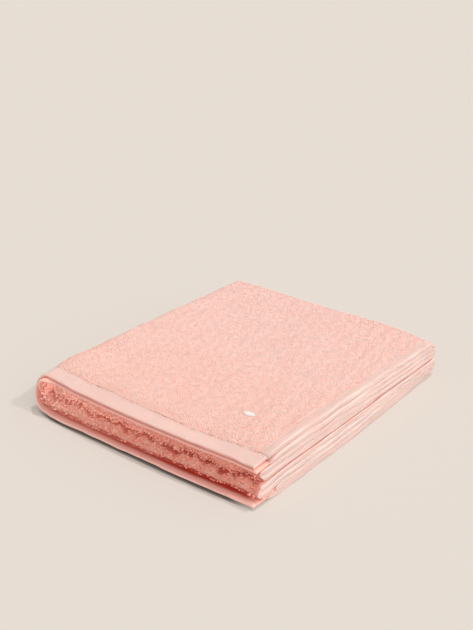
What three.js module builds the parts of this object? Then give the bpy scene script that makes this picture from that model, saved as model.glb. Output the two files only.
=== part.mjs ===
// A cotton terry bath towel, folded for a shelf: quartered along its length, then folded in half
// across its width, so that eight layers lie on each other.
//
// Millimetres, +Z up. The towel lies on Z = 0 with the origin under the middle of the stack.
// -X is the end where the whole stack bends round on itself, and +X the end with the side hems.
// -Y is the side where both end hems lie, and +Y the side with the two large back folds.
//
// Each layer is a level n, its distance from the middle of the stack: outer, second, third and
// core layer, from the outside in. The folded cloth is drawn once as a section of depth y and
// level n, and that section is swept along the top, round the bent end and back underneath.

import * as THREE from 'three';

// ---- The flat cloth ----
const TOWEL_WIDTH = 700; // from side hem to side hem
const TOWEL_LENGTH = 1500; // from end hem to end hem
const END_HEM_WIDTH = 22;
const SIDE_HEM_WIDTH = 13;
const TERRY_THICKNESS = 5.7; // ground weave with the pile of both faces
const END_HEM_THICKNESS = 3.2; // flat weave turned under
const SIDE_HEM_THICKNESS = 3.4;
const THREAD_WIDTH = 1.2;
const THREAD_HEIGHT = 0.5;
const STITCH_INSET = 2.5; // from the middle of a stitch row to the hem's inner edge

// ---- The fold ----
const LAYERS_PER_HALF = 4;
const LAYER_PITCH = 6.1;
const CORE_GAP = 0.7; // half the gap between the upper and the lower half of the stack
const NEAR_FOLD_SETBACK = 3; // how far the folds lie behind the end hems
const SEAM_GAP = 0.3; // clearance between pieces that are sewn to each other

// ---- The embroidered motif ----
const MOTIF_LENGTH = 15;
const MOTIF_WIDTH = 9;
const MOTIF_HEIGHT = 0.8;
const MOTIF_FROM_SIDE_EDGE = 66;
const MOTIF_FROM_END_EDGE = 76;

// ---- Smoothness of the round stretches ----
const TURN_STEPS = 8; // in each fold of the section
const BEND_STEPS = 16; // in the bend round the -X end
const ROUND_EDGE_STEPS = 4;
const MOTIF_STEPS = 24;

// ---- Worked out from the above ----
const layerLevel = (i) => CORE_GAP + (i + 0.5) * LAYER_PITCH; // counted from the core layer, 0
const OUTER_LEVEL = layerLevel(LAYERS_PER_HALF - 1);
const SECOND_LEVEL = layerLevel(LAYERS_PER_HALF - 2);
const HALF_STACK = OUTER_LEVEL + TERRY_THICKNESS / 2;
const BACK_TURN = (OUTER_LEVEL - layerLevel(0)) / 2; // radius of the outer layer's back fold
const TIGHT_TURN = LAYER_PITCH / 2; // radius of the near fold and of the fold inside the back fold

// The outer layer's own length round the stack is the towel's width, which sets the folded width.
const FOLDED_WIDTH = HALF_STACK + (TOWEL_WIDTH - Math.PI * OUTER_LEVEL) / 2;
// The section's length from end hem to end hem is the towel's length, which sets the folded depth.
const BACK_REACH = BACK_TURN + TERRY_THICKNESS / 2;
const NEAR_REACH = NEAR_FOLD_SETBACK + TIGHT_TURN + TERRY_THICKNESS / 2;
const LENGTH_IN_TURNS = Math.PI * (BACK_TURN + 2 * TIGHT_TURN);
const FOLDED_DEPTH = (TOWEL_LENGTH - LENGTH_IN_TURNS + 4 * BACK_REACH + 2 * NEAR_REACH) / 4;

const RIGHT = FOLDED_WIDTH / 2;
const BEND_CENTRE = -RIGHT + HALF_STACK;
const NEAR = -FOLDED_DEPTH / 2;
const BACK_CENTRE = FOLDED_DEPTH / 2 - BACK_REACH;
const NEAR_CENTRE = NEAR + NEAR_REACH;
const PILE_START = NEAR + END_HEM_WIDTH + SEAM_GAP; // where the pile begins beside the end hems
const PILE_RIGHT = RIGHT - SIDE_HEM_WIDTH - SEAM_GAP;

// ---- Colours ----
const COTTON = { terry: 0xf2b5a4, hem: 0xf3c9bd, thread: 0xf0bfb1, motif: 0xf6eee4 };

function cotton(color) {
  return new THREE.MeshStandardMaterial({ color, roughness: 0.95, metalness: 0 });
}

function named(name, geometry, color) {
  const mesh = new THREE.Mesh(geometry, cotton(color));
  mesh.name = name;
  return mesh;
}

// ---- The section ----

/** Draws a line of stations, each a place (y, n) and a heading, from straights and half turns. */
class FoldLine {
  constructor(y, n, heading) {
    this.stations = [{ y, n, heading }];
  }

  get last() {
    return this.stations.at(-1);
  }

  straightTo(y) {
    this.stations.push({ ...this.last, y });
    return this;
  }

  /** A half turn of this radius, to the left for side 1 and to the right for side -1. */
  turn(radius, side) {
    const { y, n, heading } = this.last;
    const centreY = y - side * radius * Math.sin(heading);
    const centreN = n + side * radius * Math.cos(heading);
    for (let i = 1; i <= TURN_STEPS; i++) {
      const h = heading + (side * Math.PI * i) / TURN_STEPS;
      this.stations.push({
        y: centreY + side * radius * Math.sin(h),
        n: centreN - side * radius * Math.cos(h),
        heading: h,
      });
    }
    return this;
  }
}

/** The cloth from one end hem to the other, through all four layers of a half. */
function foldedCloth() {
  return new FoldLine(PILE_START, OUTER_LEVEL, 0)
    .straightTo(BACK_CENTRE)
    .turn(BACK_TURN, -1)
    .straightTo(NEAR_CENTRE)
    .turn(TIGHT_TURN, -1)
    .straightTo(BACK_CENTRE)
    .turn(TIGHT_TURN, 1)
    .straightTo(PILE_START).stations;
}

/** The outline of a band between two offsets to the left of a fold line. */
function bandOutline(stations, low, high) {
  const offset = ({ y, n, heading }, by) =>
    new THREE.Vector2(y - by * Math.sin(heading), n + by * Math.cos(heading));
  const near = stations.map((s) => offset(s, low));
  const far = stations.map((s) => offset(s, high));
  return [...near, ...far.reverse()];
}

/** The outline of an end hem at this level: a flat band whose outer edge is a rounded fold. */
function endHemOutline(level) {
  const half = END_HEM_THICKNESS / 2;
  const shape = new THREE.Shape();
  shape.moveTo(NEAR + END_HEM_WIDTH, level - half);
  shape.lineTo(NEAR + END_HEM_WIDTH, level + half);
  shape.lineTo(NEAR + half, level + half);
  shape.absarc(NEAR + half, level, half, Math.PI / 2, (3 * Math.PI) / 2, false);
  shape.closePath();
  const points = shape.getPoints(2 * ROUND_EDGE_STEPS);
  return points.filter((p, i) => i === 0 || p.distanceTo(points[i - 1]) > 1e-6).slice(0, -1);
}

/** A rectangle in the section, for a thread row that lies on an end hem. */
function endStitchOutline(level) {
  const y = NEAR + END_HEM_WIDTH - STITCH_INSET;
  const n = level + END_HEM_THICKNESS / 2 + SEAM_GAP;
  return [
    new THREE.Vector2(y - THREAD_WIDTH / 2, n),
    new THREE.Vector2(y + THREAD_WIDTH / 2, n),
    new THREE.Vector2(y + THREAD_WIDTH / 2, n + THREAD_HEIGHT),
    new THREE.Vector2(y - THREAD_WIDTH / 2, n + THREAD_HEIGHT),
  ];
}

// ---- Sweeps ----

/** A place (y, n) of the section on the straight run above (side 1) or below (side -1). */
function onRun(x, side) {
  return ({ x: y, y: n }) => new THREE.Vector3(x, y, HALF_STACK + side * n);
}

/** A place (y, n) of the section in the bend, at this angle from straight up. */
function inBend(angle) {
  return ({ x: y, y: n }) =>
    new THREE.Vector3(BEND_CENTRE - n * Math.sin(angle), y, HALF_STACK + n * Math.cos(angle));
}

/** Where the section is placed as it goes along the top, round the bend and back below. */
function wholeWay(right) {
  const bend = Array.from({ length: BEND_STEPS + 1 }, (_, i) => inBend((Math.PI * i) / BEND_STEPS));
  return [onRun(right, 1), ...bend, onRun(right, -1)];
}

/** A closed solid through copies of one outline, with its ends capped. */
function sweep(outline, places) {
  const points = THREE.ShapeUtils.isClockWise(outline) ? [...outline].reverse() : outline;
  const count = points.length;
  const positions = places.flatMap((place) => points.map(place)).flatMap((p) => p.toArray());
  const index = [];
  for (let k = 0; k < places.length - 1; k++) {
    for (let i = 0; i < count; i++) {
      const a = k * count + i;
      const b = k * count + ((i + 1) % count);
      index.push(a, b + count, b, a, a + count, b + count);
    }
  }
  const last = (places.length - 1) * count;
  for (const [a, b, c] of THREE.ShapeUtils.triangulateShape(points, [])) {
    index.push(a, b, c, last + a, last + c, last + b);
  }
  const geometry = new THREE.BufferGeometry();
  geometry.setAttribute('position', new THREE.Float32BufferAttribute(positions, 3));
  geometry.setIndex(index);
  geometry.computeVertexNormals();
  return geometry;
}

// ---- Sub-parts ----

/** The pile cloth: one piece through all eight layers and every fold. */
function terryCloth() {
  const half = TERRY_THICKNESS / 2;
  const outline = bandOutline(foldedCloth(), -half, half);
  return named('terry_cloth', sweep(outline, wholeWay(PILE_RIGHT)), COTTON.terry);
}

/** One end hem with its thread row: along the near edge above, round the bend and back below. */
function endHem(name, level) {
  return [
    named(name, sweep(endHemOutline(level), wholeWay(RIGHT)), COTTON.hem),
    named(`${name}_stitching`, sweep(endStitchOutline(level), wholeWay(RIGHT)), COTTON.thread),
  ];
}

/** One side hem with its thread row: it follows the four layers of a half at the +X end. */
function sideHem(name, side) {
  const half = SIDE_HEM_THICKNESS / 2;
  const cloth = foldedCloth();
  const run = (from, to) => (side > 0 ? [to, from] : [from, to]).map((x) => onRun(x, side));
  const inner = RIGHT - SIDE_HEM_WIDTH;
  const row = inner + STITCH_INSET;
  const band = bandOutline(cloth, -half, half);
  const thread = bandOutline(cloth, half + SEAM_GAP, half + SEAM_GAP + THREAD_HEIGHT);
  return [
    named(name, sweep(band, run(inner, RIGHT)), COTTON.hem),
    named(
      `${name}_stitching`,
      sweep(thread, run(row - THREAD_WIDTH / 2, row + THREAD_WIDTH / 2)),
      COTTON.thread
    ),
  ];
}

/** A plain oval of satin stitch near the corner of the top layer. */
function motif() {
  const oval = new THREE.Shape();
  oval.absellipse(0, 0, MOTIF_LENGTH / 2, MOTIF_WIDTH / 2, 0, 2 * Math.PI);
  const geometry = new THREE.ExtrudeGeometry(oval, {
    depth: MOTIF_HEIGHT,
    bevelEnabled: false,
    curveSegments: MOTIF_STEPS,
  });
  const mesh = named('embroidered_motif', geometry, COTTON.motif);
  const top = HALF_STACK + OUTER_LEVEL + TERRY_THICKNESS / 2;
  mesh.position.set(RIGHT - MOTIF_FROM_SIDE_EDGE, NEAR + MOTIF_FROM_END_EDGE, top + SEAM_GAP);
  return mesh;
}

// ---- The towel ----
const towel = new THREE.Group();
towel.name = 'folded_bath_towel';
towel.add(
  terryCloth(),
  ...endHem('end_hem_outer', OUTER_LEVEL),
  ...endHem('end_hem_inner', SECOND_LEVEL),
  ...sideHem('side_hem_upper', 1),
  ...sideHem('side_hem_lower', -1),
  motif()
);

export default towel;
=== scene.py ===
"""A cotton terry bath towel, quartered along its length and folded once more across its width.

Metres, in the CAD's frame: +Z up, the towel on Z = 0, -X the end where the whole stack bends
round on itself, +X the end with the side hems, -Y the side with both end hems, +Y the back folds.

Every point of the cloth has three coordinates. "along" runs across the towel's width, from the +X
end over the top, round the bend and back underneath. "down" follows the cloth's line through the
four layers of a half, and "out" is the distance outside the cloth's middle. The line is drawn in a
section (depth y, level n), where n is the distance from the stack's middle.
"""

import math

import bpy
import numpy as np
from mathutils import Matrix, Vector


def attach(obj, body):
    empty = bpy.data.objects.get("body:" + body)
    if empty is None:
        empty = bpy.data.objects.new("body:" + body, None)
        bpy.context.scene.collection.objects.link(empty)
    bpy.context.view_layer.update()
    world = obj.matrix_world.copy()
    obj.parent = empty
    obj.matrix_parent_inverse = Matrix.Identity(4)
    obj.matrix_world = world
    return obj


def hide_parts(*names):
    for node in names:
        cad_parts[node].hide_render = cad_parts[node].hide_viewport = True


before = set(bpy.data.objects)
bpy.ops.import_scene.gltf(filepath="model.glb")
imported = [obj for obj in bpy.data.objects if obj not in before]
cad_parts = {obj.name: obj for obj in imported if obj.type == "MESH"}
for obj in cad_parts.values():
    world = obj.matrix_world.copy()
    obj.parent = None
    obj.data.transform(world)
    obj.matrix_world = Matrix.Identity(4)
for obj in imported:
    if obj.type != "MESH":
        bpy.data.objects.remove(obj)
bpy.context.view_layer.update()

# ---- The flat cloth and its fold, as in the CAD ----
TOWEL_WIDTH = 0.700
TOWEL_LENGTH = 1.500
END_HEM_WIDTH = 0.022
SIDE_HEM_WIDTH = 0.013
PITCH = 0.0061
CORE_GAP = 0.0007
NEAR_FOLD_SETBACK = 0.003
TERRY_HALF = 0.00285
END_HEM_HALF = 0.0016
SIDE_HEM_HALF = 0.0030
LEVELS = [CORE_GAP + (i + 0.5) * PITCH for i in range(4)]
CORE, THIRD, SECOND, OUTER = LEVELS
HALF_STACK = OUTER + TERRY_HALF
BACK_TURN = (OUTER - CORE) / 2
TIGHT_TURN = PITCH / 2
BEND = math.pi * OUTER
RUN = (TOWEL_WIDTH - BEND) / 2
RIGHT = (HALF_STACK + RUN) / 2
BEND_CENTRE = RIGHT - RUN
BACK_REACH = BACK_TURN + TERRY_HALF
NEAR_REACH = NEAR_FOLD_SETBACK + TIGHT_TURN + TERRY_HALF
IN_TURNS = math.pi * (BACK_TURN + 2 * TIGHT_TURN)
DEPTH = (TOWEL_LENGTH - IN_TURNS + 4 * BACK_REACH + 2 * NEAR_REACH) / 4
NEAR = -DEPTH / 2
BACK_CENTRE = DEPTH / 2 - BACK_REACH
NEAR_CENTRE = NEAR + NEAR_REACH
PILE_START = NEAR + END_HEM_WIDTH

# ---- Colours, as linear values ----
# The pile's tips and roots: the roots, and the loops' sides, are deeper as painted shade.
TIP = (0.665, 0.550, 0.520)
ROOT = (0.82, 0.565, 0.490)
# A darker, more saturated copy of the pile's colours for the near folds: painted shade.
FOLD_TIP = (1.00, 0.615, 0.490)
FOLD_ROOT = (0.70, 0.120, 0.070)
HEM = (0.72, 0.495, 0.44)
# Painted light on the side hems' exposed edges.
HEM_PAINTED_LIGHT = (0.76, 0.56, 0.51)
# Painted warm shade: a deeper colour where the hems are hidden, covered or turned in.
HEM_PAINTED_SHADE = (0.82, 0.46, 0.39)
THREAD = (0.82, 0.52, 0.46)
# Painted shade: the dark red of places hidden between and under the folds, and in the hems' recesses.
PAINTED_SHADE_COLOUR = (0.50, 0.050, 0.025)
# Painted light, as glows: warm light inside the cloth, light on its seen rims, and the faint red that the
# painted shade keeps.
CLOTH_GLOW = (0.18, 0.055, 0.040)
RIM_GLOW = (0.14, 0.115, 0.105)
DEEP_GLOW = (0.09, 0.007, 0.004)
MOTIF = (0.87, 0.81, 0.77)
FLOOR = (0.415, 0.380, 0.347)
FLOOR_GLOW = (0.235, 0.215, 0.195)
# Painted shade: the ground weave's low places, between the loops' roots.
GROUND_IN_PAINTED_SHADE = (0.90, 0.40, 0.30)
NO_LIGHT = (0.0, 0.0, 0.0)
SHEEN = (1.0, 0.78, 0.70)
# Painted light: a glow for the light that comes through a loop, at its root and at its tip.
PILE_GLOW = ((0.262, 0.156, 0.128), (0.182, 0.110, 0.090))
FOLD_GLOW = ((0.20, 0.038, 0.022), (0.21, 0.098, 0.070))
# Pairs of tints that the colour varies between: the dye's at random, and the pile's from the near side
# towards the back.
PILE_PATCHES = ((0.97, 0.865, 0.835), (1.02, 1.060, 1.085))
PILE_GRAIN = ((0.99, 0.98, 0.98), (1.01, 1.015, 1.02))
NEAR_AND_BACK = ((0.97, 0.945, 0.93), (0.985, 1.01, 1.035))
GROUND_PATCHES = ((0.93, 0.88, 0.86), (1.04, 1.05, 1.06))
HEM_GRAIN = ((0.95, 0.92, 0.91), (1.03, 1.04, 1.04))


# ---- Small helpers ----


def smooth(t):
    """A smooth step: 0 for t up to 0, and 1 from t = 1."""
    t = np.clip(t, 0.0, 1.0)
    return t * t * (3 - 2 * t)


def hump(x, middle, width):
    """A smooth rise to 1 at the middle, nearly gone two widths away."""
    return np.exp(-(((x - middle) / width) ** 2))


def beside_near(y, reach):
    """1 at the near side, falling to 0 this far in from it."""
    return smooth(1 - (y - NEAR) / reach)


def rightward(x):
    """0 on the left half of the towel and 1 on the right half, blended over the middle."""
    return smooth(0.5 + x / 0.2)


def ripple(x, lengths, seed):
    """An irregular wave of about unit height, made of a few sines with these wavelengths."""
    r = np.random.default_rng(seed)
    phases = r.uniform(0, 2 * math.pi, len(lengths))
    waves = [np.sin(2 * math.pi * x / size + phase) for size, phase in zip(lengths, phases)]
    return sum(waves) / math.sqrt(len(lengths))


def dapple(x, y, size, seed, count=7):
    """An irregular surface of about unit height, with bumps of this size."""
    r = np.random.default_rng(seed)
    total = 0
    for _ in range(count):
        turn, phase, stretch = r.uniform(0, 2 * math.pi), r.uniform(0, 2 * math.pi), r.uniform(0.7, 1.5)
        total = total + np.sin(
            2 * math.pi * (x * math.cos(turn) + y * math.sin(turn)) / (size * stretch) + phase
        )
    return total / math.sqrt(count / 2)


def by_layer(n, values):
    """One value for each layer, core to outer, steady through a layer and blended between them."""
    edges = [level + side for level in LEVELS for side in (-TERRY_HALF, TERRY_HALF)]
    return np.interp(n, edges, [v for value in values for v in (value, value)])


# ---- The section ----


def fold_line(start, level):
    """The cloth's line through a half of the stack: y, n, heading and length, finely divided."""
    y, n, heading = [start], [level], [0.0]

    def straight(to):
        steps = max(2, int(abs(to - y[-1]) / 0.0005))
        y.extend(np.linspace(y[-1], to, steps + 1)[1:])
        n.extend([n[-1]] * steps)
        heading.extend([heading[-1]] * steps)

    def turn(radius, side):
        steps, h0, y0, n0 = 40, heading[-1], y[-1], n[-1]
        for i in range(1, steps + 1):
            h = h0 + side * math.pi * i / steps
            y.append(y0 - side * radius * (math.sin(h0) - math.sin(h)))
            n.append(n0 + side * radius * (math.cos(h0) - math.cos(h)))
            heading.append(h)

    marks = []

    def mark():
        marks.append(len(y) - 1)

    straight(BACK_CENTRE)
    mark()
    turn(BACK_TURN, -1)
    mark()
    straight(NEAR_CENTRE)
    mark()
    turn(TIGHT_TURN, -1)
    mark()
    straight(BACK_CENTRE)
    mark()
    turn(TIGHT_TURN, 1)
    mark()
    straight(start)
    line = np.array([y, n, heading])
    length = np.concatenate([[0], np.cumsum(np.hypot(*np.diff(line[:2], axis=1)))])
    return line, length, [length[i] for i in marks]


LINE, LINE_LENGTH, MARKS = fold_line(PILE_START, OUTER)
BACK_FROM, BACK_TO, NEAR_FROM, NEAR_TO, INNER_FROM, INNER_TO = MARKS
LINE_END = LINE_LENGTH[-1]


def on_line(down, out):
    """The (y, n) at this length down the cloth and this far outside its middle."""
    y, n, heading = (np.interp(down, LINE_LENGTH, row) for row in LINE)
    return y - out * np.sin(heading), n + out * np.cos(heading)


# ---- How the stack has settled ----
# By layer, core to outer: how far each sinks at the near side, and how far it stands out there,
# at the +X end and at that end's back corner.
NEAR_DROOP_UPPER = (0.0002, 0.0002, 0.0020, 0.0038)
NEAR_DROOP_LOWER = (-0.0025, -0.0029, -0.00125, 0.0010)
NEAR_OUT_UPPER = (-0.0005, 0.0002, 0.0006, 0.0)
NEAR_OUT_LOWER = (0.0045, 0.0066, -0.0040, 0.0086)
NEAR_OUT_IN_BEND = (-0.0040, -0.0035, 0.0058, 0.0)
RIGHT_OUT_UPPER = (0.0040, 0.0034, 0.0028, 0.0)
RIGHT_OUT_LOWER = (0.0052, 0.0064, 0.0072, 0.0066)
CORNER_OUT_UPPER = (0.0040, 0.0034, 0.0030, 0.0030)
CORNER_OUT_LOWER = (0.0050, 0.0044, 0.0030, 0.0014)
# How far in from its edge each of these fades out.
DROOP_REACH = 0.055
NEAR_OUT_REACH = 0.15
NEAR_STRIP = 0.05
RIGHT_OUT_REACH = 0.10
CORNER_REACH = 0.03
CORE_REACH = 0.013
# The shape of the stack as a whole.
NEAR_BOW = 0.0063
NEAR_SLUMP = 0.0059
RIGHT_SLUMP = 0.0022
BACK_CROWN = 0.0026
BEND_CROWN = 0.0022
SHOULDER = 0.0018
CORNER_SINK = 0.03
FOOT_BULGE = 0.50
FOOT_BULGE_AT = -0.115
FOOT_BULGE_WIDTH = 0.028
HOLLOW = 0.0017
HOLLOW_AT = -0.138
HOLLOW_WIDTH = 0.016
# What is irregular about it.
CORE_WANDER = 0.0024
CORE_WANDER_FINE = 0.0008
RAGGED = 0.0012
FLARE = 0.0030
CORNER_TUCK = 0.0045
END_BOW = 0.0006
UPPER_SETBACK = 0.0012
ROLL = 0.0005
ROLL_FINE = 0.00035
BACK_WAVER = 0.0007


def slumped(x, y, z):
    """The whole stack's loose shape: bowed sides, a wider foot and edges that crown a little."""
    height = np.clip(z / (2 * HALF_STACK), 0, 1)
    near = smooth(-1.3 * y / (DEPTH / 2))
    mid_x = np.clip(1 - ((x + 0.02) / (RIGHT - 0.01)) ** 2, 0, 1)
    mid_y = np.clip(1 - (y / (DEPTH / 2)) ** 2, 0, 1)
    towards_bend = smooth((0.12 - x) / 0.24)
    foot = near * (1 - height) * (towards_bend + FOOT_BULGE * hump(x, FOOT_BULGE_AT, FOOT_BULGE_WIDTH))
    towards_right = smooth((x / RIGHT - 0.45) / 0.55)
    towards_back = smooth((y / (DEPTH / 2) - 0.2) / 0.8)
    sunk = 1 - CORNER_SINK * towards_right * towards_back
    crown = BACK_CROWN * smooth(1.2 * y / (DEPTH / 2)) * np.clip(1 - (x / RIGHT) ** 2, 0, 1)
    crown = crown + BEND_CROWN * smooth(-1.3 * x / RIGHT) * mid_y
    crown = crown + SHOULDER * near * smooth((-0.085 - x) / 0.05)
    return (
        x + RIGHT_SLUMP * smooth(1.1 * x / RIGHT) * (1 - height) * mid_y,
        y - NEAR_BOW * near * mid_x - NEAR_SLUMP * foot,
        np.maximum((z + crown * height) * sunk, 0.0),
    )


def angle_at(along):
    """How far round the bend a place is: 0 on the upper half and pi on the lower."""
    return np.clip((along - RUN) / OUTER, 0, math.pi)


def settled(along, y, n):
    """Where a point of the ideal stack lies once the cloth has sagged, spread and rippled."""
    along, y, n = np.broadcast_arrays(*(np.asarray(v, float) for v in (along, y, n)))
    angle = angle_at(along)
    upper = (1 + np.cos(angle)) / 2
    past = np.clip(along - RUN - BEND, 0, None)
    x = np.where(along < RUN, RIGHT - along, BEND_CENTRE + past)
    on_run = np.minimum(np.abs(np.minimum(along, TOWEL_WIDTH - along)), RUN)
    edge = beside_near(y, DROOP_REACH)
    reach = beside_near(y, NEAR_OUT_REACH)
    middle = smooth(1 - n / CORE_REACH)
    outermost = smooth((n - SECOND) / PITCH)

    def mixed(above, below):
        return upper * by_layer(n, above) + (1 - upper) * by_layer(n, below)

    # The hems are thinner than the pile, so every layer sinks towards the near side.
    level = n - edge * mixed(NEAR_DROOP_UPPER, NEAR_DROOP_LOWER)
    # The gap between the halves wanders up and down, most of all where it can be seen.
    wander = CORE_WANDER * ripple(x, (0.061, 0.033, 0.019), 5)
    wander = wander + CORE_WANDER_FINE * ripple(x, (0.012, 0.008), 6)
    wander = wander * (1 + 0.9 * smooth(-x / RIGHT))
    level = level + np.cos(angle) * wander * middle * beside_near(y, NEAR_STRIP)
    # It opens a little where the innermost layer turns round the bend.
    level = level + HOLLOW * hump(x, HOLLOW_AT, HOLLOW_WIDTH) * middle * edge
    # Layers spread at the near side, the lowest one most of all towards the +X end.
    ragged = RAGGED * ripple(x + 3 * n, (0.083, 0.041, 0.023), 7) * (0.2 + 1.5 * middle)
    near_out = mixed(NEAR_OUT_UPPER, NEAR_OUT_LOWER) + ragged
    flare = smooth(x / 0.11) * (1 - 0.5 * smooth((x - 0.13) / 0.035))
    near_out = near_out + FLARE * flare * (1 - upper) * outermost
    turning = smooth((along - RUN + 0.02) / 0.03) * smooth((RUN + 0.8 * BEND - along) / 0.03)
    near_out = near_out + turning * by_layer(n, NEAR_OUT_IN_BEND)
    corner = smooth(1 - on_run / CORNER_REACH)
    near_out = near_out - CORNER_TUCK * corner * middle
    y_settled = y - reach * near_out
    # They spread at the +X end too, less and less evenly towards the back.
    bow = END_BOW * ripple(y + 40 * n, (0.290, 0.130, 0.061), 8)
    far_back = smooth((y + 0.02) / 0.20)
    right_out = (1 - far_back) * mixed(RIGHT_OUT_UPPER, RIGHT_OUT_LOWER) + bow
    right_out = right_out + far_back * mixed(CORNER_OUT_UPPER, CORNER_OUT_LOWER)
    right_out = right_out - UPPER_SETBACK * beside_near(y, NEAR_STRIP) * upper * outermost
    spread = smooth(1 - on_run / RIGHT_OUT_REACH) * right_out
    # The top is not quite flat, and the back folds are not quite straight.
    roll = ROLL_FINE * dapple(x, y, 0.060, 9) + ROLL * dapple(x, y, 0.150, 10)
    level = level + roll * smooth(n / OUTER) * upper * smooth((y - NEAR) / 0.02)
    beside_back = smooth(1 - (DEPTH / 2 - y) / 0.08)
    y_settled = y_settled + BACK_WAVER * ripple(x + 4 * n, (0.170, 0.070), 12) * beside_back
    in_bend = (along >= RUN) & (along <= RUN + BEND)
    place_x = np.where(in_bend, BEND_CENTRE - level * np.sin(angle), x + spread)
    place_z = HALF_STACK + level * np.cos(angle)
    return np.stack(slumped(place_x, y_settled, place_z), axis=-1)


def cloth(along, down, out):
    """The settled place of a point this far along and down the cloth, and outside its middle."""
    return settled(along, *on_line(down, out))


# ---- Meshes ----


def new_mesh(name, points, faces, material, slot, cad=(), **attributes):
    """A piece that rides on the root, with its faces turned outward and nothing under the floor."""
    name = name.replace(" ", "_")
    points = np.where([False, False, True], np.maximum(points, 0.0), points)
    first, second, third = (points[faces[:, i]] for i in range(3))
    if (first * np.cross(second, third)).sum() < 0:
        faces = faces[:, ::-1]
    mesh = bpy.data.meshes.new(name)
    sides = faces.shape[1]
    mesh.vertices.add(len(points))
    mesh.vertices.foreach_set("co", np.ascontiguousarray(points, np.float32).ravel())
    mesh.loops.add(faces.size)
    mesh.loops.foreach_set("vertex_index", np.ascontiguousarray(faces, np.int32).ravel())
    mesh.polygons.add(len(faces))
    mesh.polygons.foreach_set("loop_start", np.arange(0, faces.size, sides, dtype=np.int32))
    mesh.polygons.foreach_set("use_smooth", np.ones(len(faces), bool))
    for key, values in attributes.items():
        kind, field = ("FLOAT_VECTOR", "vector") if values.ndim == 2 else ("FLOAT", "value")
        layer = mesh.attributes.new(key, kind, "POINT")
        layer.data.foreach_set(field, np.ascontiguousarray(values, np.float32).ravel())
    mesh.update(calc_edges=True)
    mesh.materials.append(material)
    obj = bpy.data.objects.new(name, mesh)
    bpy.context.scene.collection.objects.link(obj)
    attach(obj, "root")
    if cad:
        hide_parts(*cad)
    return obj


def closed_sheet(along, front, back):
    """Points and quads of a sheet with a front and a back face, joined round its rim.

    front and back give (y, n) for each station of the section, with a row for each along.
    """
    columns = front[0].shape[1]
    rows = len(along)
    a = np.repeat(along[:, None], columns, 1)
    faces_of = [settled(a, *front), settled(a, *back)]
    points = np.concatenate([f.reshape(-1, 3) for f in faces_of])
    index = np.arange(rows * columns).reshape(rows, columns)
    quads = np.stack([index[:-1, :-1], index[:-1, 1:], index[1:, 1:], index[1:, :-1]], -1).reshape(-1, 4)
    total = rows * columns
    rim = np.concatenate([index[0, :], index[1:, -1], index[-1, -2::-1], index[-2:0:-1, 0]])
    after = np.roll(rim, -1)
    sides = np.stack([rim, after, after + total, rim + total], -1)
    faces = np.concatenate([quads, quads[:, ::-1] + total, sides[:, ::-1]])
    return points, faces


def on_both_faces(u, v, apart):
    """Texture places for the two faces of a sheet, the back's this far from the front's."""
    front = np.stack([u.ravel(), v.ravel(), np.zeros(u.size)], -1)
    return np.concatenate([front, front + [0, apart, 0]])


def stations(*stretches):
    """Numbers from stretches of (from, to, spacing), without repeats."""
    parts = []
    for start, end, spacing in stretches:
        count = max(1, int(round(abs(end - start) / spacing)))
        parts.append(np.linspace(start, end, count + 1)[:-1])
    return np.concatenate([*parts, [stretches[-1][1]]])


# ---- Finishes ----


def nodes_of(name):
    """A new material with nothing but a surface and its output."""
    material = bpy.data.materials.new(name)
    material.use_nodes = True
    tree = material.node_tree
    tree.nodes.clear()
    output = tree.nodes.new("ShaderNodeOutputMaterial")
    surface = tree.nodes.new("ShaderNodeBsdfPrincipled")
    tree.links.new(surface.outputs["BSDF"], output.inputs["Surface"])
    return material, tree, surface


def add(tree, kind, inputs=(), **settings):
    """A new node, with each input linked to a socket or set to a constant."""
    node = tree.nodes.new(kind)
    for key, value in settings.items():
        setattr(node, key, value)
    for key, value in dict(inputs).items():
        socket = node.inputs[key]
        if isinstance(value, bpy.types.NodeSocket):
            tree.links.new(value, socket)
        else:
            socket.default_value = value
    return node


def attribute(tree, name, output="Vector"):
    return add(tree, "ShaderNodeAttribute", attribute_name=name).outputs[output]


def noise(tree, vector, scale, detail=3.0):
    inputs = {"Vector": vector, "Scale": scale, "Detail": detail}
    return add(tree, "ShaderNodeTexNoise", inputs).outputs["Fac"]


def blended(tree, factor, first, second, mode="MIX"):
    """The first colour where the factor is 0 and the second, or their sum or product, where it is 1."""
    node = add(tree, "ShaderNodeMix", data_type="RGBA", blend_type=mode)
    for socket, value in zip((node.inputs[0], node.inputs[6], node.inputs[7]), (factor, first, second)):
        if isinstance(value, bpy.types.NodeSocket):
            tree.links.new(value, socket)
        else:
            socket.default_value = (*value, 1) if isinstance(value, tuple) else value
    return node.outputs[2]


def toned(tree, colour, factor, tints):
    """The colour times a tint, which the factor blends between two."""
    return blended(tree, 1.0, colour, blended(tree, factor, *tints), "MULTIPLY")


def maths(tree, operation, first, second=0.0):
    """One sum, difference, product or other function of two values."""
    return add(tree, "ShaderNodeMath", {0: first, 1: second}, operation=operation).outputs[0]


def parts_of(tree, vector):
    """The X and Y of a vector."""
    split = add(tree, "ShaderNodeSeparateXYZ", {0: vector})
    return split.outputs["X"], split.outputs["Y"]


def waves(tree, value, length):
    """A sine of the value, with this wavelength."""
    return maths(tree, "SINE", maths(tree, "MULTIPLY", value, 2 * math.pi / length))


def stepped(tree, value, start, end):
    """A smooth step from 0 at the start to 1 at the end."""
    inputs = {"Value": value, "From Min": start, "From Max": end}
    return add(tree, "ShaderNodeMapRange", inputs, interpolation_type="SMOOTHSTEP").outputs["Result"]


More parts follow.
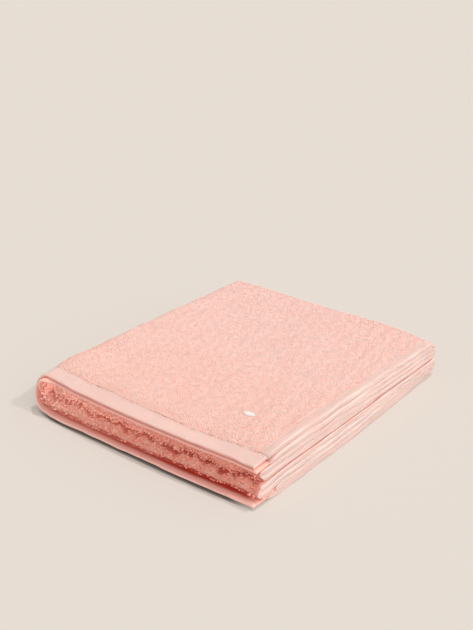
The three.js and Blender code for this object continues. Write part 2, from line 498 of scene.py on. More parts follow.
def soft_cotton(surface, sheen=0.12, roughness=0.92):
    """Matt cotton, with the pale bloom of its loose fibres."""
    surface.inputs["Roughness"].default_value = roughness
    surface.inputs["Specular IOR Level"].default_value = 0.1
    surface.inputs["Sheen Weight"].default_value = sheen
    surface.inputs["Sheen Roughness"].default_value = 0.5
    surface.inputs["Sheen Tint"].default_value = (*SHEEN, 1)


def glows(tree, surface, colour):
    """Gives a surface a glow of its own. On the cotton it is painted light, for what has passed through it
    and between its yarns; on the floor it keeps the floor evenly bright.
    """
    surface.inputs["Emission Strength"].default_value = 1.0
    tree.links.new(colour, surface.inputs["Emission Color"])


def bumped(tree, surface, height, distance, strength):
    """Fine relief that is shaded and isn't in the mesh."""
    bump = add(tree, "ShaderNodeBump", {"Strength": strength, "Distance": distance, "Height": height})
    tree.links.new(bump.outputs["Normal"], surface.inputs["Normal"])


def pile_finish(name, tip, root, glow):
    """Looped pile: painted pale at the tips and deeper at the roots, as painted shade, with a faint
    dappling of the dye, painted shade in the gaps and painted light as a glow.
    """
    material, tree, surface = nodes_of(name)
    place = attribute(tree, "cloth")
    height, deep, rim = (attribute(tree, key, "Fac") for key in ("tip", "deep", "rim"))
    down = parts_of(tree, place)[1]
    # Painted shade: deeper towards the roots and the loops' sides.
    colour = blended(tree, height, root, tip)
    colour = toned(tree, colour, noise(tree, place, 30.0), PILE_PATCHES)
    colour = toned(tree, colour, noise(tree, place, 420.0, 2.0), PILE_GRAIN)
    # Warmer and a little darker at the near side, cooler towards the back.
    colour = toned(tree, colour, stepped(tree, down, 0.02, 0.24), NEAR_AND_BACK)
    # Painted shade in the gaps between the folds.
    colour = blended(tree, deep, colour, PAINTED_SHADE_COLOUR)
    tree.links.new(colour, surface.inputs["Base Color"])
    soft_cotton(surface)
    # Painted light: a glow, faint and red in the painted shade, with more on the rims.
    painted_light_through = blended(tree, deep, blended(tree, height, *glow), DEEP_GLOW)
    glows(tree, surface, blended(tree, rim, painted_light_through, RIM_GLOW, "ADD"))
    bumped(tree, surface, noise(tree, place, 2400.0, 2.0), 0.0002, 0.3)
    return material


def ground_finish(name, low, high):
    """The ground weave under the loops, with the roots of the loops in its relief, darker in its low
    places as painted shade.
    """
    material, tree, surface = nodes_of(name)
    place = attribute(tree, "cloth")
    cells = add(tree, "ShaderNodeTexVoronoi", {"Vector": place, "Scale": 480.0})
    depth = cells.outputs["Distance"]
    # Painted shade: darker in the low places of the relief.
    colour = toned(tree, blended(tree, depth, high, low), noise(tree, place, 35.0), GROUND_PATCHES)
    # Painted shade in the gaps between the folds.
    colour = blended(tree, attribute(tree, "deep", "Fac"), colour, PAINTED_SHADE_COLOUR)
    tree.links.new(colour, surface.inputs["Base Color"])
    soft_cotton(surface)
    # Painted light: a faint warm glow.
    glows(tree, surface, blended(tree, 0.4, NO_LIGHT, CLOTH_GLOW))
    bumped(tree, surface, maths(tree, "MULTIPLY", depth, -1.0), 0.001, 0.9)
    return material


def weave_finish(name, tint):
    """Flat hem weave: fine ribs along the hem, crossed by finer ones, and slightly uneven."""
    material, tree, surface = nodes_of(name)
    place = attribute(tree, "cloth")
    pale, edge, rim, deep = (attribute(tree, key, "Fac") for key in ("pale", "edge", "rim", "deep"))
    along, across = parts_of(tree, place)
    ribs = maths(tree, "MULTIPLY", waves(tree, along, 0.0011), 0.5)
    weave = maths(tree, "ADD", ribs, waves(tree, across, 0.0009))
    relief = maths(tree, "ADD", weave, noise(tree, place, 500.0))
    darker, lighter = tuple(0.96 * c for c in tint), tuple(1.03 * c for c in tint)
    colour = blended(tree, noise(tree, place, 45.0), darker, lighter)
    # Painted light on the side hems' exposed edges.
    colour = blended(tree, pale, colour, HEM_PAINTED_LIGHT)
    # Painted warm shade where the hem is hidden, covered or turned in.
    colour = blended(tree, edge, colour, HEM_PAINTED_SHADE)
    # Painted shade in recesses and between layers.
    colour = blended(tree, deep, colour, PAINTED_SHADE_COLOUR)
    colour = toned(tree, colour, noise(tree, place, 700.0, 2.0), HEM_GRAIN)
    tree.links.new(colour, surface.inputs["Base Color"])
    soft_cotton(surface, roughness=0.85)
    # Painted light: a warm glow where the hem is hidden, covered or turned in, more on its seen rims, and
    # a faint red one in the painted shade.
    through = blended(tree, edge, NO_LIGHT, CLOTH_GLOW)
    through = blended(tree, rim, through, RIM_GLOW, "ADD")
    glows(tree, surface, blended(tree, deep, through, DEEP_GLOW))
    surface.inputs["Subsurface Weight"].default_value = 0.45
    surface.inputs["Subsurface Radius"].default_value = (1.0, 0.35, 0.25)
    surface.inputs["Subsurface Scale"].default_value = 0.0022
    bumped(tree, surface, relief, 0.00012, 0.5)
    return material


def thread_finish(name, tint, roughness, twist):
    """Twisted yarn, with its plies as fine ridges."""
    material, tree, surface = nodes_of(name)
    place = attribute(tree, "cloth")
    x, y = parts_of(tree, place)
    ridge = waves(tree, maths(tree, "ADD", x, maths(tree, "MULTIPLY", y, 0.7)), twist)
    colour = blended(tree, noise(tree, place, 600.0, 2.0), tuple(0.9 * c for c in tint), tint)
    tree.links.new(colour, surface.inputs["Base Color"])
    soft_cotton(surface, 0.2, roughness)
    bumped(tree, surface, ridge, 0.00008, 0.6)
    return material


PILE = pile_finish("terry pile", TIP, ROOT, PILE_GLOW)
# The near folds' pile: the top's pile with deeper colours, as painted shade.
PILE_IN_PAINTED_SHADE = pile_finish("terry pile in the folds", FOLD_TIP, FOLD_ROOT, FOLD_GLOW)
GROUND = ground_finish("terry ground weave", GROUND_IN_PAINTED_SHADE, ROOT)
HEM_WEAVE = weave_finish("hem weave", HEM)
HEM_THREAD = thread_finish("hem thread", THREAD, 0.8, 0.0005)
SATIN = thread_finish("embroidery thread", MOTIF, 0.5, 0.0004)


# ---- The terry cloth ----
GROUND_UNDER_LOOPS = 0.0024
TERRY_BACK_APART = 3.0


def looped(down):
    """How far the looped stretches of the section reach here: 1 on them, 0 inside the stack."""
    outside = smooth((BACK_TO + 0.012 - down) / 0.010)
    near = smooth((down - NEAR_FROM + 0.014) / 0.006) * smooth((NEAR_TO + 0.014 - down) / 0.006)
    return np.maximum(outside, near)


def beside_hems(a, d):
    """How much of its full thickness the terry has here: it thins towards the hems."""
    ends = 0.60 + 0.40 * smooth(np.minimum(d, LINE_END - d) / 0.011)
    sides = np.minimum(a - SIDE_HEM_WIDTH, TOWEL_WIDTH - SIDE_HEM_WIDTH - a)
    return np.minimum(ends, 0.75 + 0.25 * smooth(sides / 0.008))


def in_the_gaps(a, d):
    """How much painted shade a place gets, where it is hidden between the near folds or under the lower
    one: 1 is full.
    """
    under = smooth((a - RUN - 0.5 * BEND) / (0.3 * BEND))
    right = rightward(np.where(a < RUN, RIGHT - a, a - TOWEL_WIDTH + RIGHT))
    reached = NEAR_FROM + 0.0009 + 0.0007 * right + 0.0012 * dapple(a, d, 0.011, 61)
    between = (0.50 + 0.32 * right) * smooth((reached - d) / 0.0022)
    below = under * (0.60 + 0.40 * right) * smooth((d - NEAR_FROM - 0.0048) / 0.0024)
    below = below * smooth((TOWEL_WIDTH - a - 0.008) / 0.012)
    return np.maximum(between, below) * smooth((d - NEAR_FROM + 0.016) / 0.004)


def terry_cloth():
    """The ground of the terry, finely divided where it turns and coarsely where it lies flat."""
    along = stations(
        (SIDE_HEM_WIDTH, 0.06, 0.003),
        (0.06, RUN, 0.0055),
        (RUN, RUN + BEND, 0.0022),
        (RUN + BEND, 0.64, 0.0055),
        (0.64, TOWEL_WIDTH - SIDE_HEM_WIDTH, 0.003),
    )
    down = stations(
        (0, 0.03, 0.003),
        (0.03, BACK_FROM, 0.006),
        (BACK_FROM, BACK_TO, 0.0019),
        (BACK_TO, NEAR_FROM - 0.03, 0.012),
        (NEAR_FROM - 0.03, NEAR_FROM, 0.003),
        (NEAR_FROM, NEAR_TO, 0.0011),
        (NEAR_TO, NEAR_TO + 0.03, 0.003),
        (NEAR_TO + 0.03, INNER_FROM, 0.012),
        (INNER_FROM, INNER_TO, 0.0013),
        (INNER_TO, LINE_END - 0.02, 0.012),
        (LINE_END - 0.02, LINE_END, 0.003),
    )
    a, d = np.meshgrid(along, down, indexing="ij")
    # The underside has no loops of its own, so the ground there is as thick as the pile.
    underside = smooth((along - RUN - 0.9 * BEND) / (0.1 * BEND))[:, None]
    plain = underside * smooth((BACK_FROM - d) / 0.01)
    front_out = TERRY_HALF - (TERRY_HALF - GROUND_UNDER_LOOPS) * looped(d) * (1 - plain)
    taper = beside_hems(a, d)
    ripples = 0.00015 * dapple(a, d, 0.007, 21)
    front = on_line(d, front_out * taper + ripples)
    back = on_line(d, -TERRY_HALF * taper)
    points, faces = closed_sheet(along, front, back)
    place = on_both_faces(a, d, TERRY_BACK_APART)
    # Painted shade where the ground is hidden between the near folds or under the lower one.
    deep = np.tile(in_the_gaps(a, d).ravel(), 2)
    return new_mesh("terry cloth", points, faces, GROUND, "terry", ["terry_cloth"], cloth=place, deep=deep)


# ---- The pile ----
# A loop is a small arch: three rings of three points between its two feet.
RING = [(0.0, 1.0), (-0.87, -0.5), (0.87, -0.5)]
RINGS_AT = [(-0.30, 0.55), (0.0, 0.82), (0.30, 0.55)]
TOP_LOOPS = {"spacing": 0.0018, "length": 0.0028, "height": 0.00044}
BACK_LOOPS = {"spacing": 0.0020, "length": 0.0028, "height": 0.0007}
NEAR_LOOPS = {
    "spacing": 0.0018,
    "length": 0.0031,
    "height": 0.0021,
    "lean": 0.55,
    "yarn": 0.62,
    "root": 0.0031,
}


def loop_template():
    """The points of a loop one unit long, one high and one wide, its faces, and how pale each point is
    painted: paler the higher it stands and the more it faces up, deeper at its feet and sides, as painted
    shade.
    """
    points, tips = [(-0.5, 0.0, -0.15)], [0.0]
    for lengthwise, height in RINGS_AT:
        for side, up in RING:
            points.append((lengthwise + 0.12 * up * np.sign(lengthwise), 0.27 * side, height + 0.24 * up))
            # Painted shade: a point is paler the higher it stands and the more it faces up.
            tips.append(0.32 + 0.40 * height + 0.33 * up)
    points.append((0.5, 0.0, -0.15))
    tips.append(0.0)
    faces = []
    for i in range(3):
        j = (i + 1) % 3
        faces.append((0, 1 + j, 1 + i))
        faces.append((10, 7 + i, 7 + j))
        for ring in (1, 4):
            faces.append((ring + i, ring + j, ring + 3 + j))
            faces.append((ring + i, ring + 3 + j, ring + 3 + i))
    return np.array(points), np.array(faces), np.array(tips)


LOOP_POINTS, LOOP_FACES, LOOP_TIPS = loop_template()


def directions(a, d, out):
    """Where places on the cloth are, with its directions there: down it, across it and out of it."""
    at, small = cloth(a, d, out), 0.0004
    across = cloth(a + small, d, out) - at
    lengthwise = cloth(a, d + small, out) - at
    across /= np.linalg.norm(across, axis=1, keepdims=True)
    up = np.cross(lengthwise, across)
    up /= np.linalg.norm(up, axis=1, keepdims=True)
    outward = cloth(a, d, out + small) - at
    up *= np.sign((up * outward).sum(1, keepdims=True))
    return at, np.cross(up, across), across, up


def loops(
    name, along_span, down_span, material, seed, *, spacing, length, height, lean=0.24, yarn=1.0, root=None
):
    """A stretch of looped pile, with each loop its own size, turn and lean.

    The loops stand on the ground weave, or at "root" outside the middle of the cloth.
    """
    r = np.random.default_rng(seed)
    a, d = np.meshgrid(
        np.arange(along_span[0] + spacing / 2, along_span[1], spacing),
        np.arange(down_span[0] + spacing / 2, down_span[1], spacing),
        indexing="ij",
    )
    a = (a + r.uniform(-0.45, 0.45, a.shape) * spacing).ravel()
    d = (d + r.uniform(-0.45, 0.45, d.shape) * spacing).ravel()
    count = a.size
    base = GROUND_UNDER_LOOPS * beside_hems(a, d) if root is None else root
    at, lengthwise, across, up = directions(a, d, base)
    clump = dapple(a, d, 0.009, seed + 1)
    turn = 1.1 * dapple(a, d, 0.013, seed + 2) + r.normal(0, 0.9, count)
    gap = in_the_gaps(a, d)
    tall = height * (1 + 0.10 * clump + r.normal(0, 0.10, count)) * (1 - 0.4 * gap)
    long = length * (1 + r.normal(0, 0.15, count))
    thick = r.uniform(0.85, 1.15, count) * length * yarn
    forward = np.cos(turn)[:, None] * lengthwise + np.sin(turn)[:, None] * across
    sideways = np.cross(up, forward)
    tilt = r.normal(0, lean, count)[:, None] + 0.16 * dapple(a, d, 0.016, seed + 3)[:, None]
    risen = up + tilt * sideways + r.normal(0, lean / 2, count)[:, None] * forward
    x, y, z = LOOP_POINTS.T
    points = (
        at[:, None]
        + x[None, :, None] * (long[:, None] * forward)[:, None]
        + y[None, :, None] * (thick[:, None] * sideways)[:, None]
        + z[None, :, None] * (tall[:, None] * risen)[:, None]
    )
    faces = LOOP_FACES[None] + np.arange(count)[:, None, None] * len(LOOP_POINTS)
    # Painted light on the near folds: paler tips and a glow towards the bend, and a glow on the upper
    # fold's left half. Painted shade in the gaps, with random specks in the painted shade's colour. The
    # tips are also uneven in colour at random.
    in_fold = smooth((d - NEAR_FROM + 0.004) / 0.002)
    lit_end = in_fold * smooth(-at[:, 0] / 0.15)
    upper_fold_glow = in_fold * (a < TOWEL_WIDTH / 2) * smooth(0.6 - at[:, 0] / 0.25)
    lighter = 0.30 * lit_end + in_fold * r.normal(0, 0.20, count)
    shade = np.clip(LOOP_TIPS[None] + (0.05 * clump + lighter + r.normal(0, 0.03, count))[:, None], 0, 1)
    place = np.repeat(np.stack([a, d, r.uniform(0, 0.01, count)], -1)[:, None], len(LOOP_POINTS), 1)
    place = place + 0.0006 * LOOP_POINTS[None]
    specks = 0.6 * in_fold * (r.random(count) < 0.05)
    return new_mesh(
        name,
        points.reshape(-1, 3),
        faces.reshape(-1, 3),
        material,
        "terry",
        cloth=place.reshape(-1, 3),
        tip=shade.ravel(),
        deep=np.repeat(np.maximum(gap, specks), len(LOOP_POINTS)),
        rim=np.repeat(np.maximum(0.75 * lit_end, upper_fold_glow) * (1 - gap), len(LOOP_POINTS)),
    )


def all_loops():
    """The pile wherever it can be seen. The top is in four stretches, to keep each one light."""
    inside = SIDE_HEM_WIDTH - 0.0006
    whole = (inside, TOWEL_WIDTH - inside)
    nearly_whole = (0.004, TOWEL_WIDTH - 0.004)
    near_folds = (NEAR_FROM - 0.002, NEAR_TO + 0.010)
    cuts = np.linspace(inside, RUN, 5)
    top = [
        loops(f"pile of the top {i + 1}", cuts[i : i + 2], (0, BACK_FROM), PILE, 31 + 7 * i, **TOP_LOOPS)
        for i in range(4)
    ]
    return [
        *top,
        loops("pile of the bend", (RUN, RUN + BEND), (0, BACK_FROM), PILE, 71, **TOP_LOOPS),
        loops("pile of the back folds", whole, (BACK_FROM, BACK_TO + 0.008), PILE, 83, **BACK_LOOPS),
        loops("pile of the near folds", nearly_whole, near_folds, PILE_IN_PAINTED_SHADE, 97, **NEAR_LOOPS),
    ]


# ---- Hems ----
# The irregular waves that the hems and their stitch rows share: heights and wavelengths.
END_GATHER = 0.00022
END_GATHERS = (0.013, 0.0083, 0.0057)
END_PUFF = 0.0003
END_PUFFS = (0.071, 0.037)
END_WAVER = 0.0007
END_WAVERS = (0.120, 0.052, 0.021)
SIDE_GATHER = 0.0002
SIDE_GATHERS = (0.012, 0.0079, 0.0053)
ROW_INSET = 0.0028
ROW_WIDTH = 0.0016
END_ROUNDING = 0.0019
SIDE_ROUNDING = 0.0012
HEM_TIP = 0.0018
HEM_BACK_APART = 0.2


def rounded_start(rounding, steps):
    """Stations that close up towards the edge, for a round turn."""
    return rounding * (1 - np.cos(np.linspace(0, math.pi / 2, steps)))


def quarter_round(inset, rounding):
    """The thickness of a rounded edge: next to nothing at the edge, full beyond the rounding."""
    return np.sqrt(np.clip(1 - (1 - np.minimum(inset, rounding) / rounding) ** 2, 0.012, 1))


def pinch(inset, width):
    """How the stitch row dents a hem of this width, and how the hem thins beyond the row."""
    seam = smooth(1 - np.abs(inset - width + ROW_INSET) / ROW_WIDTH)
    inner = smooth((width - inset) / ROW_WIDTH)
    return 1 - 0.22 * seam, 0.78 + 0.22 * inner


def inner_groove(inset, width):
    """The shaded line where the pile begins beside a hem of this width."""
    return 0.5 * smooth((inset - width + 0.0012) / 0.0010)


def end_hem_shades(a, c, inner_hem):
    """Where an end hem gets painted warm shade with a glow, as from light inside the fold, a painted glow
    at its rim, and painted shade.
    """
    under = smooth((a - RUN - 0.4 * BEND) / (0.3 * BEND))
    rim = np.where(inner_hem, 0.90, 0.20 + 0.55 * under) * smooth(1 - c / 0.0014)
    covered = 0.75 * inner_hem * smooth(c / 0.0015)
    front = np.maximum(np.maximum(rim, inner_groove(c, END_HEM_WIDTH)), covered)
    back = 0.20 + 0.55 * under + 0.50 * (1 - under) * smooth(c / 0.0012)
    turning = smooth((a - RUN + 0.03) / 0.03) * smooth((RUN + BEND + 0.01 - a) / 0.03)
    seen_rim = np.maximum(turning, np.where(inner_hem, 0.5 - 0.5 * under, 0.6 * under))
    # Painted shade in the recess under the lower fold.
    recess = under * smooth((c - 0.0046) / 0.0060) * smooth((TOWEL_WIDTH - a - 0.006) / 0.014)
    recess = recess * (0.50 + 0.50 * rightward(a - TOWEL_WIDTH + RIGHT))
    return {
        "edge": np.concatenate([front, back]),
        "rim": np.tile(seen_rim * smooth(1 - c / 0.0020), 2),
        "deep": np.concatenate([0 * recess, recess]),
    }


def end_hem(name, level, cad, seed):
    """A flat band turned under at its outer edge, a little gathered along its stitched edge."""
    along = stations(
        (0, 0.003, 0.0005),
        (0.003, RUN, 0.003),
        (RUN, RUN + BEND, 0.002),
        (RUN + BEND, TOWEL_WIDTH - 0.003, 0.003),
        (TOWEL_WIDTH - 0.003, TOWEL_WIDTH, 0.0005),
    )
    inward = stations((0.003, 0.016, 0.0022), (0.016, END_HEM_WIDTH, 0.0008))
    a, c = np.meshgrid(along, np.concatenate([rounded_start(END_ROUNDING, 8), inward]), indexing="ij")
    round_edge = quarter_round(c, END_ROUNDING)
    round_end = quarter_round(np.minimum(a, TOWEL_WIDTH - a), HEM_TIP)
    dent, thinning = pinch(c, END_HEM_WIDTH)
    half = END_HEM_HALF * round_edge * round_end * dent * thinning
    gathers = END_GATHER * ripple(a, END_GATHERS, seed) * smooth(c / END_HEM_WIDTH)
    puff = END_PUFF * ripple(a, END_PUFFS, seed + 1)
    y = NEAR + c + END_WAVER * ripple(a, END_WAVERS, seed + 2) * smooth(c / END_HEM_WIDTH)
    lift = gathers + 0.5 * puff
    points, faces = closed_sheet(along, (y, level + half + lift), (y, level - half + 0.6 * lift))
    place = on_both_faces(a, c, HEM_BACK_APART)
    shades = end_hem_shades(a.ravel(), c.ravel(), level < OUTER)
    return new_mesh(name, points, faces, HEM_WEAVE, "hem", [cad], cloth=place, **shades)


def side_hem_shades(d, inset):
    """Where a side hem gets painted warm shade with a glow, as from light inside the stack, painted light
    at its edge, and painted shade.
    """
    on_top = d < BACK_TO
    hidden = 0.65 * smooth((inset - 0.0009) / 0.0014) * smooth((LINE_END - d) / 0.03)
    between = 0.30 * smooth((inset - 0.0006) / 0.0006)
    return {
        "edge": np.concatenate([np.where(on_top, inner_groove(inset, SIDE_HEM_WIDTH), hidden), hidden]),
        # Painted light: paler towards the exposed edge.
        "pale": np.tile(smooth(1.6 - inset / 0.0015), 2),
        "deep": np.concatenate([np.where(on_top, 0, between), between]),
    }


def side_hem(name, far, cad, seed):
    """A narrow turned hem that follows all four layers of one half at the +X end."""
    inward = stations((0.003, 0.008, 0.0017), (0.008, SIDE_HEM_WIDTH, 0.0009))
    inward = np.concatenate([rounded_start(SIDE_ROUNDING, 7), inward])
    along = TOWEL_WIDTH - inward[::-1] if far else inward
    down = stations(
        (0, BACK_FROM, 0.003),
        (BACK_FROM, BACK_TO, 0.0014),
        (BACK_TO, NEAR_FROM, 0.004),
        (NEAR_FROM, NEAR_TO, 0.0009),
        (NEAR_TO, INNER_FROM, 0.004),
        (INNER_FROM, INNER_TO, 0.0009),
        (INNER_TO, LINE_END, 0.004),
    )
    a, d = np.meshgrid(along, down, indexing="ij")
    inset = TOWEL_WIDTH - a if far else a
    # The edge is rounder than a quarter circle, so that neighbouring layers leave narrow grooves.
    round_edge = np.clip(1 - (1 - np.minimum(inset, SIDE_ROUNDING) / SIDE_ROUNDING) ** 4, 0.002, 1) ** 0.25
    flatter = 1 - 0.3 * smooth((inset - 0.003) / 0.008)
    to_end = smooth(np.minimum(d, LINE_END - d) / 0.014)
    puffy = SIDE_HEM_HALF + (0.0002 if far else 0.0)
    full = END_HEM_HALF + (puffy - END_HEM_HALF) * to_end
    dent, thinning = pinch(inset, SIDE_HEM_WIDTH)
    half = full * round_edge * flatter * dent * thinning
    gathers = SIDE_GATHER * ripple(d, SIDE_GATHERS, seed) * smooth(inset / SIDE_HEM_WIDTH)
    points, faces = closed_sheet(along, on_line(d, half + gathers), on_line(d, -half + 0.6 * gathers))
    place = on_both_faces(d, inset, HEM_BACK_APART)
    shades = side_hem_shades(d.ravel(), inset.ravel())
    return new_mesh(name, points, faces, HEM_WEAVE, "hem", [cad], cloth=place, **shades)


# ---- Threads ----
STITCH = 0.0030
STITCH_WIDTH = 0.0008
STITCH_RISE = 0.00015
STITCH_APART = 0.12
JUST_ABOVE = 0.0003
# The height of a stitch row, as a share of its hem's half thickness, and how proud it stands.
ROW_HEIGHT = 0.72
ROW_PROUD = 0.0001
SIDE_ROW_FLATTER = 0.70


def strands(starts, ends, ups, width, rise, steps=5, around=5):
    """Closed arched strands from each start to each end."""
    count = len(starts)
    t = np.linspace(0, 1, steps)
    swell = np.sqrt(np.clip(1 - (2 * t - 1) ** 2, 0.03, 1))
    line = starts[:, None] + t[None, :, None] * (ends - starts)[:, None]
    line = line + (rise * np.sin(math.pi * t))[None, :, None] * ups[:, None]
    forward = ends - starts
    forward /= np.linalg.norm(forward, axis=1, keepdims=True)
    side = np.cross(forward, ups)
    turn = np.linspace(0, 2 * math.pi, around, endpoint=False)
    ring = np.cos(turn)[None, :, None] * side[:, None] + np.sin(turn)[None, :, None] * ups[:, None]
    points = line[:, :, None] + (width / 2) * swell[None, :, None, None] * ring[:, None]
    index = np.arange(steps * around).reshape(steps, around)
    triangles = []
    for row, after in zip(index[:-1], index[1:]):
        for j in range(around):
            k = (j + 1) % around
            triangles.append((row[j], after[j], after[k]))
            triangles.append((row[j], after[k], row[k]))
    for j in range(1, around - 1):
        triangles.append((index[0, 0], index[0, j], index[0, j + 1]))
        triangles.append((index[-1, 0], index[-1, j + 1], index[-1, j]))
    faces = np.array(triangles)[None] + (np.arange(count) * steps * around)[:, None, None]
    return points.reshape(-1, 3), faces.reshape(-1, 3)


def stitches(name, points, above, cad):
    """Lockstitches, each from just after one of the points to just before the next."""
    ups = above - points
    ups = ups / np.linalg.norm(ups, axis=1, keepdims=True)
    step = np.diff(points, axis=0)
    starts = points[:-1] + STITCH_APART * step
    ends = points[:-1] + (1 - STITCH_APART) * step
    where, faces = strands(starts, ends, ups[:-1], STITCH_WIDTH, STITCH_RISE)
    return new_mesh(name, where, faces, HEM_THREAD, "thread", [cad], cloth=where)


def end_stitches(name, level, cad, seed):
    """The row that holds an end hem, which follows its gathers: the seed is the hem's own."""
    a = np.linspace(0.002, TOWEL_WIDTH - 0.002, int(TOWEL_WIDTH / STITCH))
    y = NEAR + END_HEM_WIDTH - ROW_INSET + END_WAVER * ripple(a, END_WAVERS, seed + 2)
    lift = END_GATHER * ripple(a, END_GATHERS, seed) + 0.5 * END_PUFF * ripple(a, END_PUFFS, seed + 1)
    n = level + ROW_HEIGHT * END_HEM_HALF + lift + ROW_PROUD
    return stitches(name, settled(a, y, n), settled(a, y, n + JUST_ABOVE), cad)


def side_stitches(name, far, cad, seed):
    """The row that holds a side hem, which follows its gathers: the seed is the hem's own."""
    d = np.linspace(0.001, LINE_END - 0.001, int(LINE_END / STITCH))
    inset = np.full_like(d, SIDE_HEM_WIDTH - ROW_INSET)
    a = TOWEL_WIDTH - inset if far else inset
    gathers = SIDE_GATHER * ripple(d, SIDE_GATHERS, seed)
    out = SIDE_ROW_FLATTER * ROW_HEIGHT * SIDE_HEM_HALF + gathers + ROW_PROUD
    return stitches(name, cloth(a, d, out), cloth(a, d, out + JUST_ABOVE), cad)


MOTIF_ALONG = 0.066
MOTIF_DOWN = 0.076 - END_HEM_WIDTH
MOTIF_HALF_LENGTH = 0.0075
MOTIF_HALF_WIDTH = 0.0045
MOTIF_SLANT = 0.0012
MOTIF_THREADS = 34
MOTIF_PROUD = 0.0001
SATIN_WIDTH = 0.00062
SATIN_RISE = 0.0006


def motif():
    """A plain oval of satin stitch: slanted threads side by side, arched over their middle."""
    t = np.linspace(-0.97, 0.97, MOTIF_THREADS)
    chord = np.sqrt(1 - t**2) * MOTIF_HALF_WIDTH
    middle = MOTIF_ALONG - t * MOTIF_HALF_LENGTH
    out = TERRY_HALF + MOTIF_PROUD
    first = cloth(middle - MOTIF_SLANT, MOTIF_DOWN - chord, out)
    last = cloth(middle + MOTIF_SLANT, MOTIF_DOWN + chord, out)
    ups = np.tile([0.0, 0.0, 1.0], (len(t), 1))
    where, faces = strands(first, last, ups, SATIN_WIDTH, SATIN_RISE, 11, 6)
    return new_mesh("embroidered motif", where, faces, SATIN, "motif", ["embroidered_motif"], cloth=where)


terry = terry_cloth()
pile = all_loops()
trim = [
    end_hem("outer end hem", OUTER, "end_hem_outer", 41),
    end_hem("inner end hem", SECOND, "end_hem_inner", 44),
    side_hem("upper side hem", False, "side_hem_upper", 47),
    side_hem("lower side hem", True, "side_hem_lower", 50),
    end_stitches("outer end hem stitching", OUTER, "end_hem_outer_stitching", 41),
    end_stitches("inner end hem stitching", SECOND, "end_hem_inner_stitching", 44),
    side_stitches("upper side hem stitching", False, "side_hem_upper_stitching", 47),
    side_stitches("lower side hem stitching", True, "side_hem_lower_stitching", 50),
    motif(),
]


# ---- Floor, light and camera ----
CONTACT_REACH = 0.0014
CONTACT_SOFTNESS = 0.0014
CONTACT_DARK = 0.75
FOOT_HEIGHT = 0.006
FOOT_BIN = 0.004
FLOOR_HALF = 30
FLOOR_DROP = 0.0003


def near_outline():
    """The outline of the towel's foot along its near side, as a polynomial of y in x.

    It is fitted to the foremost points of the lowest hem, one in each narrow bin of x.
    """
    hem = trim[0].data
    points = np.empty(3 * len(hem.vertices), np.float32)
    hem.vertices.foreach_get("co", points)
    points = points.reshape(-1, 3)
    points = points[points[:, 2] < FOOT_HEIGHT]
    bins = np.round((points[:, 0] - points[:, 0].min()) / FOOT_BIN).astype(int)
    foremost = [points[bins == i][np.argmin(points[bins == i][:, 1])] for i in np.unique(bins)]
    return np.polyfit(*np.array(foremost)[:, :2].T, 6)


def contact_shade(tree):
    """The narrow painted shadow where the towel's near side meets the floor: 1 in the contact, 0 beyond.
    """
    x, y = parts_of(tree, add(tree, "ShaderNodeTexCoord").outputs["Object"])
    first, *rest = (float(c) for c in near_outline())
    line = maths(tree, "ADD", maths(tree, "MULTIPLY", x, first), rest[0])
    for c in rest[1:]:
        line = maths(tree, "ADD", maths(tree, "MULTIPLY", line, x), c)
    beyond = maths(tree, "SUBTRACT", line, y)
    shade = stepped(tree, beyond, CONTACT_REACH + CONTACT_SOFTNESS, CONTACT_REACH - CONTACT_SOFTNESS)
    # The polynomial is only good near the hem, so the shade ends with it.
    for value, gone, full in ((y, NEAR + 0.05, NEAR + 0.03), (x, 0.170, 0.140), (x, -0.165, -0.125)):
        shade = maths(tree, "MULTIPLY", shade, stepped(tree, value, gone, full))
    return shade


def floor():
    """A plain pale floor, lit partly from within so that it is as even as a paper sweep, with a narrow
    painted shadow along the towel's near side.
    """
    mesh = bpy.data.meshes.new("floor")
    corners = [(i * FLOOR_HALF, j * FLOOR_HALF, 0) for i, j in ((-1, -1), (1, -1), (1, 1), (-1, 1))]
    mesh.from_pydata(corners, [], [(0, 1, 2, 3)])
    obj = bpy.data.objects.new("floor", mesh)
    obj.location.z = -FLOOR_DROP
    material, tree, surface = nodes_of("pale floor")
    surface.inputs["Roughness"].default_value = 1.0
    surface.inputs["Specular IOR Level"].default_value = 0.0
    shade = contact_shade(tree)
    # Painted shadow: the floor is darker and without its glow in the contact.
    floor_in_shade = tuple(CONTACT_DARK * c for c in FLOOR)
    tree.links.new(blended(tree, shade, FLOOR, floor_in_shade), surface.inputs["Base Color"])
    glows(tree, surface, blended(tree, shade, FLOOR_GLOW, NO_LIGHT))
    mesh.materials.append(material)
    bpy.context.scene.collection.objects.link(obj)
    return obj


# Each sun's name, the way to it, its strength and its width in degrees.
SUNS = [("overhead", (0.03, 0.36, 0.935), 1.34, 3.0), ("side", (0.67, 0.30, 0.68), 0.95, 3.0)]
SKY_FROM = Vector((0.85, 0.05, 0.52))
SKY_FLAT = 0.50
SKY_LOBE = 1.15
SKY_TINT = (1.0, 0.99, 0.98)
SUN_TINT = (1.0, 0.985, 0.965)


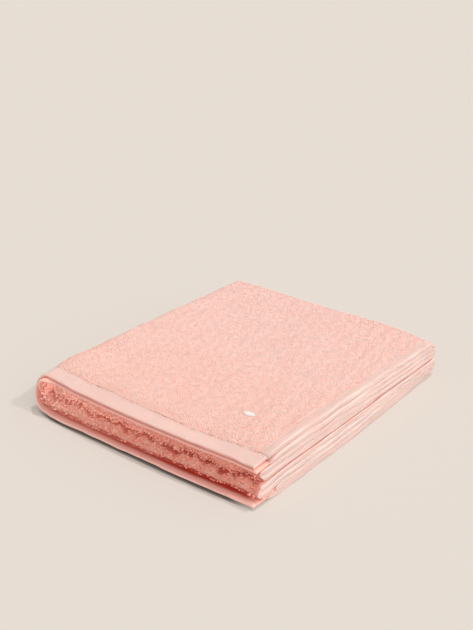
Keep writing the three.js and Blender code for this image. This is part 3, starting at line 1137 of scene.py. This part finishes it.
def light():
    """A broad soft sky, brighter towards +X, with one key overhead and a weaker one from +X."""
    world = bpy.data.worlds.new("studio")
    bpy.context.scene.world = world
    world.use_nodes = True
    tree = world.node_tree
    tree.nodes.clear()
    output = tree.nodes.new("ShaderNodeOutputWorld")
    background = tree.nodes.new("ShaderNodeBackground")
    tree.links.new(background.outputs[0], output.inputs[0])
    way = add(tree, "ShaderNodeTexCoord").outputs["Generated"]
    facing = add(
        tree, "ShaderNodeVectorMath", {0: way, 1: SKY_FROM.normalized()}, operation="DOT_PRODUCT"
    ).outputs["Value"]
    lobe = maths(tree, "POWER", maths(tree, "MAXIMUM", facing), 3.0)
    strength = maths(tree, "ADD", maths(tree, "MULTIPLY", lobe, SKY_LOBE), SKY_FLAT)
    tree.links.new(strength, background.inputs["Strength"])
    background.inputs["Color"].default_value = (*SKY_TINT, 1)
    for name, source, strength, width in SUNS:
        sun = bpy.data.lights.new(name, "SUN")
        sun.energy = strength
        sun.angle = math.radians(width)
        sun.color = SUN_TINT
        obj = bpy.data.objects.new(name, sun)
        obj.rotation_mode = "QUATERNION"
        obj.rotation_quaternion = Vector(source).to_track_quat("Z", "Y")
        bpy.context.scene.collection.objects.link(obj)


# Metres, degrees and millimetres.
CAMERA_AT = (0.6501, -0.8113, 0.566)
CAMERA_YAW = 39.07
CAMERA_PITCH = 24.13
CAMERA_ROLL = 0.08
CAMERA_LENS = 52.42


def camera():
    """A level-headed view from the near +X side, looking down at the towel."""
    data = bpy.data.cameras.new("camera")
    data.sensor_width = 36
    data.lens = CAMERA_LENS
    data.clip_start, data.clip_end = 0.05, 100
    obj = bpy.data.objects.new("camera", data)
    yaw, pitch, roll = (math.radians(v) for v in (CAMERA_YAW, CAMERA_PITCH, CAMERA_ROLL))
    ahead = Vector((-math.sin(yaw) * math.cos(pitch), math.cos(yaw) * math.cos(pitch), -math.sin(pitch)))
    right = Vector((math.cos(yaw), math.sin(yaw), 0))
    up = right.cross(ahead)
    right, up = (
        math.cos(roll) * right + math.sin(roll) * up,
        math.cos(roll) * up - math.sin(roll) * right,
    )
    turn = Matrix((right, up, -ahead)).transposed().to_4x4()
    obj.matrix_world = Matrix.Translation(CAMERA_AT) @ turn
    bpy.context.scene.collection.objects.link(obj)
    bpy.context.scene.camera = obj


ground = floor()
light()
camera()
bpy.context.scene.view_settings.view_transform = "Standard"
